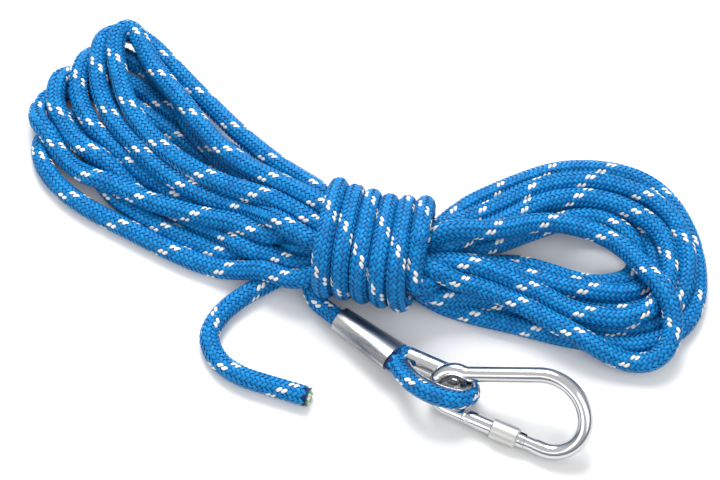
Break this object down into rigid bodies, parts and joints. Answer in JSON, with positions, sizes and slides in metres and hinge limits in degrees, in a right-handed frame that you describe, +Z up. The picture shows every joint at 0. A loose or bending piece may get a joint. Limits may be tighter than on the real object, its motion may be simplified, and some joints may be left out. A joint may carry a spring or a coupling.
{
  "type": "climbing rope",
  "caption": "Hank of braided climbing rope tied round its middle, with a free tail, and a thimble eye under a pressed ferrule that holds a screw-gate carabiner.",
  "frame": {"origin": "under the middle of the tie, on the surface that the hank rests on", "axes": "+X along the hank towards its right lobe, +Y to its back, away from the carabiner, +Z up"},
  "size_m": [0.381, 0.193, 0.048],
  "materials": {
    "rope_sheath": "braided polyamide, mid blue with white tracer yarns",
    "rope_core": "off-white twisted core yarns",
    "pressed_aluminium": "pressed, fine lines along the axis",
    "thimble_steel": "bright zinc plate",
    "plated_steel": "bright zinc plate",
    "pin_steel": "ground ends",
    "spring_steel": "drawn wire",
    "plunger_brass": "turned",
    "satin_aluminium": "satin with a fine knurl"
  },
  "bodies": {
    "rope": {"rope_hank_left": "rope_sheath", "rope_hank_middle": "rope_sheath", "rope_hank_right": "rope_sheath", "rope_wrap": "rope_sheath", "rope_tail_sheath": "rope_sheath", "rope_tail_core": "rope_core", "rope_lead_sheath": "rope_sheath", "rope_lead_core": "rope_core", "rope_eye_sheath": "rope_sheath", "rope_eye_core": "rope_core", "rope_in_ferrule": "rope_core", "ferrule": "pressed_aluminium", "thimble": "thimble_steel"},
    "carabiner": {"carabiner_body": "plated_steel"},
    "gate": {"gate": "plated_steel", "gate_hinge_pin": "pin_steel", "gate_catch_pin": "pin_steel", "gate_spring": "spring_steel"},
    "plunger": {"gate_plunger": "plunger_brass"},
    "sleeve": {"locking_sleeve": "satin_aluminium"}
  },
  "joints": [
    {"name": "carabiner_swing", "type": "hinge", "parent": "rope", "child": "carabiner", "pos_m": [0.04471, -0.05608, 0.00923], "axis": [0.1057, 0.5491, 0.829], "range_deg": [-25, 0]},
    {"name": "gate_hinge", "type": "hinge", "parent": "carabiner", "child": "gate", "pos_m": [0.06572, -0.07432, 0.00465], "axis": [-0.1105, -0.614, 0.7815], "range_deg": [0, 28], "stiffness_Nm_per_rad": 0.08, "springref_deg": -17.19},
    {"name": "plunger_slide", "type": "slide", "parent": "gate", "child": "plunger", "axis": [0.9842, -0.1771, 0], "range_m": [0, 0.00125], "deforming": ["gate_spring"]},
    {"name": "sleeve_slide", "type": "slide", "parent": "gate", "child": "sleeve", "axis": [0.9842, -0.1771, 0], "range_m": [0, 0.006]}
  ],
  "couplings": [
    {"joint": "plunger_slide", "follows": "gate_hinge", "m_per_rad": 0.002558}
  ]
}
